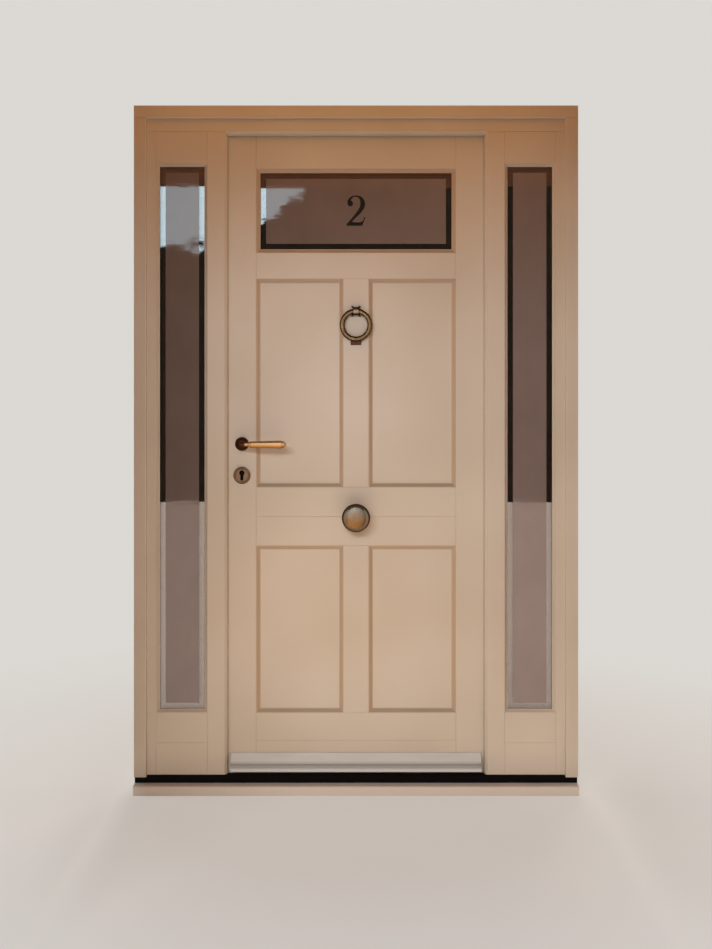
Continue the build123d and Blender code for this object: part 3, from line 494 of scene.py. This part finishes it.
def screw_head(shape, place, facing, diameter, rise):
    """A countersunk head that lies on a face and faces along a direction.

    Its cross recess is two dark bars, painted shade in place of a hollow recess, which stand proud of the
    head by less than its rise.
    """
    radius = diameter / 2
    top_share, bar_length, bar_width, bar_rise, bar_level = 0.94, 1.15, 0.26, 0.2, 1.02
    head = bmesh.ops.create_cone(
        shape, cap_ends=True, segments=24, radius1=radius, radius2=radius * top_share, depth=rise
    )["verts"]
    bmesh.ops.translate(shape, vec=(0, 0, rise / 2), verts=head)
    for turn in (0, pi / 2):
        bar = bmesh.ops.create_cube(shape, size=1)["verts"]
        bar_size = (radius * bar_length, radius * bar_width, rise * bar_rise)
        bmesh.ops.scale(shape, vec=bar_size, verts=bar)
        bmesh.ops.rotate(shape, cent=(0, 0, 0), matrix=Matrix.Rotation(turn, 3, "Z"), verts=bar)
        bmesh.ops.translate(shape, vec=(0, 0, rise * bar_level), verts=bar)
        for face in {face for vert in bar for face in vert.link_faces}:
            face.material_index = 1
        head += bar
    towards = Vector((0, 0, 1)).rotation_difference(Vector(facing)).to_matrix()
    bmesh.ops.rotate(shape, cent=(0, 0, 0), matrix=towards, verts=head)
    bmesh.ops.translate(shape, vec=place, verts=head)


def inset_box(name, margin=0.0):
    """The x and z limits of a modelled part, drawn in by a margin."""
    low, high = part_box(name)
    return (low.x + margin, high.x - margin), (low.z + margin, high.z - margin)


# Finishes on the modelled parts

def dress(names, material):
    """Gives modelled parts a finish through their material slots."""
    for name in names:
        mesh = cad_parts[name].data
        if not mesh.materials:
            raise RuntimeError(f"{name} has no material slot")
        for place in range(len(mesh.materials)):
            mesh.materials[place] = material


def both(*parts):
    """The names of parts that come as a left and a right one."""
    return [f"{part}_{side}" for part in parts for side in ("left", "right")]


class PaintTimber(bpy.types.Operator):
    """Paints the frame and the leaf, with brush lines along each board"""

    bl_idname = "front_door.paint_timber"
    bl_label = "Paint the Timber"

    def execute(self, context):
        colours = context.scene.door_colours
        posts = paint("satin paint upright grain", "Z", colours.paint_light, colours.paint_dark)
        dress(both("outer_jamb", "mullion", "cover_strip", "side_beads"), posts)
        dress(both("lower_panel", "upper_panel"), posts)
        dress(["lock_stile", "hinge_stile", "lower_muntin", "upper_muntin", "inside_mouldings"], posts)

        rails = paint("satin paint level grain", "X", colours.paint_light, colours.paint_dark)
        dress(both("side_top_rail", "side_lower_rail", "side_base_rail"), rails)
        dress(["head", "cover_strip_top", "bottom_rail_board", "bottom_rail"], rails)
        dress(["lock_rail_lower", "lock_rail_upper", "frieze_rail", "top_rail"], rails)

        # The mouldings get a darker paint as painted shade, grey on their up-facing ledges as painted cool
        # light
        moulding_light_and_shade = greyed_paint(
            "moulding paint with painted light and shade", colours.moulding_shaded_paint, colours.moulding_cool_light, share=0.88
        )
        dress(["outside_mouldings"], moulding_light_and_shade)
        return {"FINISHED"}


class PaintSill(bpy.types.Operator):
    """Paints the sill, greyer where it faces up, and the weatherboard, greyed as painted cool light and
    darkened in its hollow as painted shade
    """

    bl_idname = "front_door.paint_sill"
    bl_label = "Paint the Sill and Weatherboard"

    def execute(self, context):
        colours = context.scene.door_colours
        sill = greyed_paint("sill paint greyed on top", colours.sill_paint, colours.sill_top_grey, share=0.7)
        dress(["sill"], sill)
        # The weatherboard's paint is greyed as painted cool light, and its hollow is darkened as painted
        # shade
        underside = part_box("weatherboard")[0].z
        board = greyed_paint(
            "weatherboard paint with painted light and shade", colours.board_cool_lit_paint, colours.board_hollow_shade, share=0.15,
            hollow=(underside + 7 * MM, underside + 33 * MM),
        )
        dress(["weatherboard"], board)
        return {"FINISHED"}


class FinishThreshold(bpy.types.Operator):
    """Coats the threshold and blackens the weather seal"""

    bl_idname = "front_door.finish_threshold"
    bl_label = "Finish the Threshold and Seal"

    def execute(self, context):
        colours = context.scene.door_colours
        dress(["threshold"], powder_coat(colours.threshold))
        dress(["weather_seal"], rubber(colours.rubber))
        return {"FINISHED"}


class Glaze(bpy.types.Operator):
    """Gives the panes and the bars between them their finish"""

    bl_idname = "front_door.glaze"
    bl_label = "Glaze the Lights"

    def execute(self, context):
        colours = context.scene.door_colours
        for names, label in (
            (both("side_glass"), "float glass of the side lights"),
            (["top_light_glass"], "float glass of the top light"),
        ):
            low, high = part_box(names[0])
            split = (low.y + high.y) / 2
            dress(names, float_glass(label, colours.clear_glass, colours.dark_glass, split))
        spacer = plain_metal("dark anodised spacer", colours.spacer, roughness=0.4, line_axis="Z")
        dress(["side_spacers", "top_light_spacer"], spacer)
        return {"FINISHED"}


class FinishFurniture(bpy.types.Operator):
    """Ages the lever, rose, escutcheon, knocker and knob, with painted shade on their rims and sideways
    faces, and darkens the cylinder as the painted shade of a deep keyhole
    """

    bl_idname = "front_door.finish_furniture"
    bl_label = "Age the Door Furniture"

    def execute(self, context):
        colours = context.scene.door_colours
        worn, aged = colours.bronze_worn, colours.bronze_aged
        dark, dull, turned = colours.bronze_dark, colours.bronze_dull, colours.bronze_turned

        # Where bright metal may show: fronts, crests, the lever past its neck, worn by hands, and the strap
        # inside its edges; faces turned sideways, rims and the strap's edges are darkened as painted shade
        low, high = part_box("rose_outside")
        axle = -(low.x + high.x) / 2
        neck, grip = axle - 11 * MM, axle - 20 * MM
        front = (("Normal", "Y", 0.3, 0.65),)
        handle = (("Object", "X", neck, grip), ("Normal", "Y", 0.25, 0.55))
        crest = (("Normal", "Y", 0.55, 0.9),)
        strap = (("Object", "X", 9 * MM, 7 * MM), *crest)
        dome = (("Normal", "Y", 0.4, 0.75),)

        for names, label, bright, patina, wear, roughness, wear_and_shade in (
            (["lever_outside", "lever_inside"], "hand worn bronze with painted edge shade", worn, aged, 1.0, 0.24, handle),
            (["rose_outside"], "browned bronze", aged, dark, 0.12, 0.4, front),
            (["knocker_strike"], "struck bronze", aged, dark, 0.85, 0.42, front),
            (["escutcheon_outside", "inside_backplate"], "dulled bronze", dull, aged, 0.6, 0.42, front),
            (["knocker_ring"], "ring bronze with painted edge shade", worn, dark, 0.3, 0.26, crest),
            (["knocker_strap"], "bronze of the strap", dull, dark, 0.9, 0.36, strap),
            (["centre_knob"], "turned bronze", turned, dark, 0.75, 0.24, dome),
        ):
            dress(names, aged_bronze(label, bright, patina, wear, roughness, wear_and_shade))

        # Near black as the painted shade of a deep keyhole
        brass = plain_metal("cylinder brass darkened as painted shade", colours.cylinder, roughness=0.4, line_axis="X")
        dress(["cylinder_body", "cylinder_plug"], brass)
        return {"FINISHED"}


class FinishIronmongery(bpy.types.Operator):
    """Brushes the hinges, lock case, bolts, spindle and strike plate"""

    bl_idname = "front_door.finish_ironmongery"
    bl_label = "Brush the Hinges and Lock"

    def execute(self, context):
        steel = plain_metal(
            "brushed steel", context.scene.door_colours.steel, roughness=0.34, line_axis="Z"
        )
        dress(["hinge_frame_plates", "hinge_pins", "hinge_leaf_plates"], steel)
        dress(["lock_case", "latch_bolt", "dead_bolt", "spindle", "strike_plate"], steel)
        return {"FINISHED"}


# Glass details

def numeral_outline():
    """A plain numeral two, anticlockwise from its foot; the flag says where it has a corner."""
    return [
        (0, 0, True), (50, 0, True), (60, 27, True), (56, 27, True), (52, 16, False), (45, 12, False),
        (16, 12, True), (31, 27, False), (46, 42, False), (56, 57, False), (58.5, 71, False),
        (53, 87, False), (42, 95, False), (29, 97, False), (14, 92.5, False), (4.5, 82, False),
        (3, 71, False), (6, 64.5, False), (12, 62, False), (18.5, 65, False), (20.5, 71.5, False),
        (17.5, 78, False), (13, 82, True), (19, 89.5, False), (28, 93, False), (37, 89.5, False),
        (42.5, 82, False), (44, 70, False), (41, 58.5, False), (33, 45, False), (19, 27, False),
        (0, 6, True),
    ]


def add_outline(curve, points):
    """Adds a closed outline to a flat curve; points are x, y and whether it has a corner there."""
    spline = curve.splines.new("BEZIER")
    spline.bezier_points.add(len(points) - 1)
    for knot, (x, y, corner) in zip(spline.bezier_points, points):
        knot.co = (x, y, 0)
        kind = "VECTOR" if corner else "AUTO"
        knot.handle_left_type = kind
        knot.handle_right_type = kind
    spline.use_cyclic_u = True
    spline.resolution_u = 8


class EtchLights(bpy.types.Operator):
    """Lays the etched fields on the outer panes, the one over the door with its number left clear"""

    bl_idname = "front_door.etch_lights"
    bl_label = "Etch the Lights"

    def execute(self, context):
        colours, sizes = context.scene.door_colours, context.scene.door_sizes
        finish = etched_glass(colours.etched, colours.etched_dark)
        thickness, gap = sizes.etched_thickness, 0.02 * MM
        for side in ("left", "right"):
            pane = "side_glass_" + side
            x, z = inset_box(pane, SIDE_COVER + sizes.etched_margin)
            shape = bmesh.new()
            thicken(shape, upright(shape, x, z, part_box(pane)[0].y - gap - thickness), thickness)
            add_piece("etched_field_" + side, shape, [finish], "frame")

        x, z = inset_box("top_light_glass", DOOR_COVER + sizes.etched_margin)
        curve = bpy.data.curves.new("etched_field_top", "CURVE")
        curve.dimensions = "2D"
        curve.fill_mode = "BOTH"
        curve.extrude = thickness / 2
        add_outline(curve, [(x[0], z[0], True), (x[1], z[0], True), (x[1], z[1], True), (x[0], z[1], True)])
        grow = sizes.numeral_height / NUMERAL_HEIGHT
        left, foot = -NUMERAL_WIDTH / 2 * grow, sizes.numeral_rise - sizes.numeral_height / 2
        number = [(left + px * grow, foot + py * grow, corner) for px, py, corner in numeral_outline()]
        add_outline(curve, number)
        flat = bpy.data.objects.new("etched_field_top_outline", curve)
        bpy.context.scene.collection.objects.link(flat)
        mesh = bpy.data.meshes.new_from_object(flat)
        bpy.data.objects.remove(flat)
        shape = bmesh.new()
        shape.from_mesh(mesh)
        bmesh.ops.rotate(shape, cent=(0, 0, 0), matrix=Matrix.Rotation(pi / 2, 3, "X"), verts=shape.verts)
        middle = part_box("top_light_glass")[0].y - gap - thickness / 2
        bmesh.ops.translate(shape, vec=(0, middle, 0), verts=shape.verts)
        add_piece("etched_field_top", shape, [finish], "leaf")
        return {"FINISHED"}


class TapeGlass(bpy.types.Operator):
    """Adds the dark glazing tape that shows as a thin line between bead and glass"""

    bl_idname = "front_door.tape_glass"
    bl_label = "Tape the Glass"

    def execute(self, context):
        sizes = context.scene.door_sizes
        finish = material_named("extruded rubber")
        thickness, gap = sizes.tape_thickness, 0.01 * MM
        for light, pane, cover, body in (
            ("side_left", "side_glass_left", SIDE_COVER, "frame"),
            ("side_right", "side_glass_right", SIDE_COVER, "frame"),
            ("top_light", "top_light_glass", DOOR_COVER, "leaf"),
        ):
            low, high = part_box(pane)
            x, z = inset_box(pane)
            width = cover + sizes.tape_width
            shape = bmesh.new()
            border(shape, x, z, width, low.y - thickness, low.y - gap)
            border(shape, x, z, width, high.y + gap, high.y + thickness)
            add_piece("glazing_tape_" + light, shape, [finish], body)
        return {"FINISHED"}


# Screws

class FitHingeScrews(bpy.types.Operator):
    """Puts four screws in each plate of the three hinges"""

    bl_idname = "front_door.fit_hinge_screws"
    bl_label = "Fit the Hinge Screws"

    def execute(self, context):
        steel = material_named("brushed steel")
        recess = recess_shade_finish(context.scene.door_colours.recess)
        diameter, rise = context.scene.door_sizes.hinge_screw, 0.06 * MM

        low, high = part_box("hinge_pins")
        half_pin, middle_hinge = 53 * MM, 1069 * MM
        levels = (low.z + half_pin, middle_hinge, high.z - half_pin)
        pin_x, pin_y = (low.x + high.x) / 2, (low.y + high.y) / 2
        half_parting = 0.1 * MM
        # Each screw's height from the hinge's middle and distance from its pin, in millimetres
        screws = ((-38, 17.1), (-13, 31.1), (13, 17.1), (38, 31.1))
        for body, side in (("frame", 1), ("leaf", -1)):
            shape = bmesh.new()
            for level in levels:
                for height, distance in screws:
                    place = (pin_x + side * half_parting, pin_y - distance * MM, level + height * MM)
                    screw_head(shape, place, (-side, 0, 0), diameter, rise)
            add_piece("hinge_screws_" + body, shape, [steel, recess], body)
        return {"FINISHED"}


class FitLockScrews(bpy.types.Operator):
    """Puts the screws in the strike plate, the lock's faceplate and the inside backplate"""

    bl_idname = "front_door.fit_lock_screws"
    bl_label = "Fit the Lock Screws"

    def execute(self, context):
        steel, recess = material_named("brushed steel"), material_named("painted screw recess shade")
        diameter, rise = context.scene.door_sizes.plate_screw, 0.4 * MM

        low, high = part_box("strike_plate")
        from_end = 11 * MM
        shape = bmesh.new()
        for z in (low.z + from_end, high.z - from_end):
            screw_head(shape, (high.x, (low.y + high.y) / 2, z), (1, 0, 0), diameter, rise)
        add_piece("strike_plate_screws", shape, [steel, recess], "frame")

        # The cylinder's own screw is smaller and stands level with its plug
        low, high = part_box("lock_case")
        middle = (low.y + high.y) / 2
        from_end, cylinder_screw = 9 * MM, diameter * 0.85
        shape = bmesh.new()
        for z in (low.z + from_end, high.z - from_end):
            screw_head(shape, (low.x, middle, z), (-1, 0, 0), diameter, rise)
        plug_low, plug_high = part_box("cylinder_plug")
        cylinder_level = (plug_low.z + plug_high.z) / 2
        screw_head(shape, (low.x, middle, cylinder_level), (-1, 0, 0), cylinder_screw, rise)
        add_piece("faceplate_screws", shape, [steel, recess], "leaf")

        low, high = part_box("inside_backplate")
        from_end, dome = 17 * MM, rise * 1.6
        shape = bmesh.new()
        for z in (low.z + from_end, high.z - from_end):
            screw_head(shape, ((low.x + high.x) / 2, high.y, z), (0, 1, 0), diameter, dome)
        bronze = material_named("dulled bronze")
        add_piece("backplate_screws", shape, [bronze, recess], "leaf")
        return {"FINISHED"}


# Stage

def seen_directly(tree):
    """1 for rays from the camera, a reflection or glass, and 0 for the light that falls on things."""
    rays = add_node(tree, "ShaderNodeLightPath").outputs
    first = add_node(
        tree, "ShaderNodeMath", {"operation": "MAXIMUM"},
        {0: rays["Is Camera Ray"], 1: rays["Is Glossy Ray"]},
    )
    return add_node(
        tree, "ShaderNodeMath", {"operation": "MAXIMUM"}, {0: first, 1: rays["Is Transmission Ray"]}
    )


def floor_material(colour, background, ground):
    """A pale matt floor that melts into the background a few metres out, and mirrors as warm ground."""
    material, tree = new_material("pale floor")
    mottle = two_tones(tree, (600, 600, 600), colour, toned(colour, 0.97), detail=3.0)
    matt = add_node(
        tree, "ShaderNodeBsdfPrincipled", {"Roughness": 0.9, "Specular IOR Level": 0.1},
        {"Base Color": mottle},
    )
    place = add_node(tree, "ShaderNodeTexCoord").outputs["Object"]
    distance = add_node(tree, "ShaderNodeVectorMath", {"operation": "LENGTH"}, {0: place})
    far = add_node(
        tree, "ShaderNodeMapRange", {"From Min": 0.6, "From Max": 2.4, "To Min": 0.5}, {"Value": distance}
    )
    melted = add_node(
        tree, "ShaderNodeMath", {"operation": "MULTIPLY"}, {0: far, 1: seen_directly(tree)}
    )
    camera_ray = add_node(tree, "ShaderNodeLightPath").outputs["Is Camera Ray"]
    tone = add_node(
        tree, "ShaderNodeMix", {"data_type": "RGBA", 6: ground, 7: background}, {0: camera_ray}
    )
    glow = add_node(tree, "ShaderNodeEmission", {"Strength": 0.9}, {"Color": tone})
    return completed(material, add_node(tree, "ShaderNodeMixShader", links={0: melted, 1: matt, 2: glow}))


def surroundings_material(dark, bright):
    """What glass and metal mirror: a dark part, taller towards the right, under a bright one."""
    material, tree = new_material("mirrored surroundings")
    place = add_node(tree, "ShaderNodeTexCoord").outputs["Object"]
    height = add_node(tree, "ShaderNodeSeparateXYZ", links={"Vector": place}).outputs["Z"]
    right = ramp(tree, "Object", "X", -1.6, 1.0, 0.0, 2.6)
    square = add_node(tree, "ShaderNodeMath", {"operation": "MULTIPLY"}, {0: right, 1: right})
    top = add_node(tree, "ShaderNodeMath", {"operation": "MULTIPLY_ADD", 1: 0.4, 2: 2.55}, {0: square})
    above = add_node(tree, "ShaderNodeMath", {"operation": "SUBTRACT"}, {0: height, 1: top})
    ranges = ((-0.1, 0.1), (0.0, 1.0))
    _, ragged, mottled = clouds(tree, (300, 1000, 120), *ranges, detail=4.0, roughness=0.6)
    edge = add_node(tree, "ShaderNodeMath", {"operation": "ADD"}, {0: above, 1: ragged})
    over = add_node(tree, "ShaderNodeMapRange", {"From Min": -0.02, "From Max": 0.02}, {"Value": edge})
    tone = add_node(
        tree, "ShaderNodeMix", {"data_type": "RGBA", 6: dark, 7: toned(dark, 1.6)}, {0: mottled}
    )
    shade = add_node(tree, "ShaderNodeEmission", {"Strength": 0.6}, {"Color": tone})
    glow = add_node(tree, "ShaderNodeEmission", {"Color": bright, "Strength": 1.6})
    return completed(material, add_node(tree, "ShaderNodeMixShader", links={0: over, 1: shade, 2: glow}))


def reflector_material(low, high):
    """A soft screen before the door that only what mirrors can see: warm below, cool above."""
    material, tree = new_material("front reflector")
    rise = ramp(tree, "Object", "Z", 0.72, 1.12)
    power = ramp(tree, "Object", "X", 0.08, 0.6, 1.95, 0.4, middle=-0.14)
    tone = add_node(tree, "ShaderNodeMix", {"data_type": "RGBA", 6: low, 7: high}, {0: rise})
    glow = add_node(tree, "ShaderNodeEmission", links={"Color": tone, "Strength": power})
    return completed(material, glow)


def card_material(name, colour):
    """A matt painted card in a warm brown, a little uneven, as if it were boarded."""
    material, tree = new_material(name)
    boards = two_tones(tree, (90, 90, 2000), colour, toned(colour, 0.85), detail=1.0)
    shader = add_node(
        tree, "ShaderNodeBsdfPrincipled", {"Roughness": 0.9, "Specular IOR Level": 0.1},
        {"Base Color": boards},
    )
    return completed(material, shader)


def add_card(name, size, place, turn, axis, material, unseen=()):
    """A flat card of the stage, turned about one axis and hidden from some kinds of rays."""
    shape = bmesh.new()
    rectangle(shape, size, place, turn, axis)
    card = add_object(name, shape, [material])
    for rays in unseen:
        setattr(card, "visible_" + rays, False)


def add_lamp(name, place, target, size, power, colour):
    """A soft rectangular lamp that neither the camera nor reflections see."""
    data = bpy.data.lights.new(name, "AREA")
    data.shape = "RECTANGLE"
    data.size, data.size_y = size
    data.energy = power
    data.color = linear(colour)[:3]
    light = bpy.data.objects.new(name, data)
    light.location = place
    light.rotation_euler = (Vector(target) - Vector(place)).to_track_quat("-Z", "Y").to_euler()
    for rays in ("camera", "glossy", "transmission"):
        setattr(light, "visible_" + rays, False)
    bpy.context.scene.collection.objects.link(light)


class SetStage(bpy.types.Operator):
    """Sets the camera, the pale floor and surroundings, the cards and the soft lamps"""

    bl_idname = "front_door.set_stage"
    bl_label = "Set the Stage"

    def execute(self, context):
        scene, stage = context.scene, context.scene.door_stage
        data = bpy.data.cameras.new("camera")
        data.sensor_width = 36
        data.lens = stage.focal_pixels / PICTURE_HEIGHT * data.sensor_width
        data.shift_y = (stage.horizon - PICTURE_HEIGHT / 2) / PICTURE_HEIGHT
        camera = bpy.data.objects.new("camera", data)
        camera.location = (0, -stage.camera_distance, stage.camera_height)
        camera.rotation_euler = (pi / 2, 0, 0)
        scene.collection.objects.link(camera)
        scene.camera = camera

        # Each card's width and height, and its centre, in metres
        floor = floor_material(stage.floor, stage.background, stage.ground)
        add_card("floor", (80, 80), (0, 0, 0), 0, "X", floor)
        overhead = card_material("overhead card", stage.overhead)
        add_card("overhead_card", (3.4, 2.3), (0, -1.15, 2.37), 0, "X", overhead, ["camera"])
        beside = card_material("side card", stage.beside)
        light_only = ["camera", "glossy", "transmission"]
        for x in (-0.745, 0.745):
            add_card("side_card", (2.28, 1.0), (x, -0.54, 1.26), pi / 2, "Y", beside, light_only)
        mirrors_only = ["camera", "diffuse", "shadow"]
        around = surroundings_material(stage.mirrored_low, stage.mirrored_high)
        add_card("mirrored_surroundings", (14, 6), (0, -6, 3.36), pi / 2, "X", around, mirrors_only)
        screen = reflector_material(stage.warm_glow, stage.cool_glow)
        unseen = [*mirrors_only, "transmission"]
        add_card("front_reflector", (1.06, 1.45), (0, -0.45, 1.05), pi / 2, "X", screen, unseen)

        world = bpy.data.worlds.new("studio surroundings")
        world.use_nodes = True
        tree = world.node_tree
        tree.nodes.clear()
        seen = add_node(tree, "ShaderNodeBackground", {"Color": stage.background, "Strength": 0.9})
        fill = add_node(
            tree, "ShaderNodeBackground", {"Color": linear("#dfe6ee"), "Strength": stage.surround_fill}
        )
        choice = add_node(
            tree, "ShaderNodeMixShader", links={0: seen_directly(tree), 1: fill, 2: seen}
        )
        add_node(tree, "ShaderNodeOutputWorld", links={"Surface": choice})
        scene.world = world

        # Each lamp's place, the point that it shines at, its width and height, power and colour
        for lamp in (
            ("sky_light", (-1.4, -6.0, 3.3), (0, 0, 1.3), (4.0, 1.0), stage.sky_power, "#ebf3ff"),
            ("high_light", (-1.4, -6.0, 4.5), (0, 0, 1.0), (4.0, 3.3), stage.high_power, "#eef0f2"),
            ("ground_light", (0, -1.4, 0.004), (0, -1.4, 1.0), (3.2, 2.2), stage.ground_power, "#ffead6"),
            ("overhead_light", (0, -0.6, 2.35), (0, -0.6, 1), (3.0, 1.0), stage.overhead_power, "#ffb868"),
            ("left_light", (-4.0, 0.9, 1.6), (0, 0, 1.1), (1.6, 2.4), stage.side_power, "#f3f4ee"),
            ("right_light", (4.0, 0.9, 1.6), (0, 0, 1.1), (1.6, 2.4), stage.side_power, "#f8e6d4"),
            ("back_light", (0.8, 5.0, 2.6), (0, 0, 1.0), (3.5, 2.5), stage.back_power, "#fff0e6"),
        ):
            add_lamp(*lamp)
        scene.view_settings.view_transform = "Standard"
        return {"FINISHED"}


GROUPS = {"door_colours": DoorColours, "door_sizes": DoorSizes, "door_stage": StageSettings}
STEPS = (
    PaintTimber, PaintSill, FinishThreshold, Glaze, FinishFurniture, FinishIronmongery,
    EtchLights, TapeGlass, FitHingeScrews, FitLockScrews, SetStage,
)


class DoorPanel(bpy.types.Panel):
    """Lists the steps and the settings in the sidebar"""

    bl_idname = "VIEW3D_PT_front_door"
    bl_label = "Front Door"
    bl_space_type = "VIEW_3D"
    bl_region_type = "UI"
    bl_category = "Front Door"

    def draw(self, context):
        for step in STEPS:
            self.layout.operator(step.bl_idname)
        for group, kind in GROUPS.items():
            box = self.layout.box()
            for name in kind.__annotations__:
                box.prop(getattr(context.scene, group), name)


CLASSES = (*GROUPS.values(), *STEPS, DoorPanel)


def register():
    for item in CLASSES:
        bpy.utils.register_class(item)
    for name, group in GROUPS.items():
        setattr(bpy.types.Scene, name, PointerProperty(type=group))


def unregister():
    for name in GROUPS:
        delattr(bpy.types.Scene, name)
    for item in reversed(CLASSES):
        bpy.utils.unregister_class(item)


def main():
    register()
    for step in STEPS:
        group, name = step.bl_idname.split(".")
        getattr(getattr(bpy.ops, group), name)()


if __name__ == "__main__":
    main()
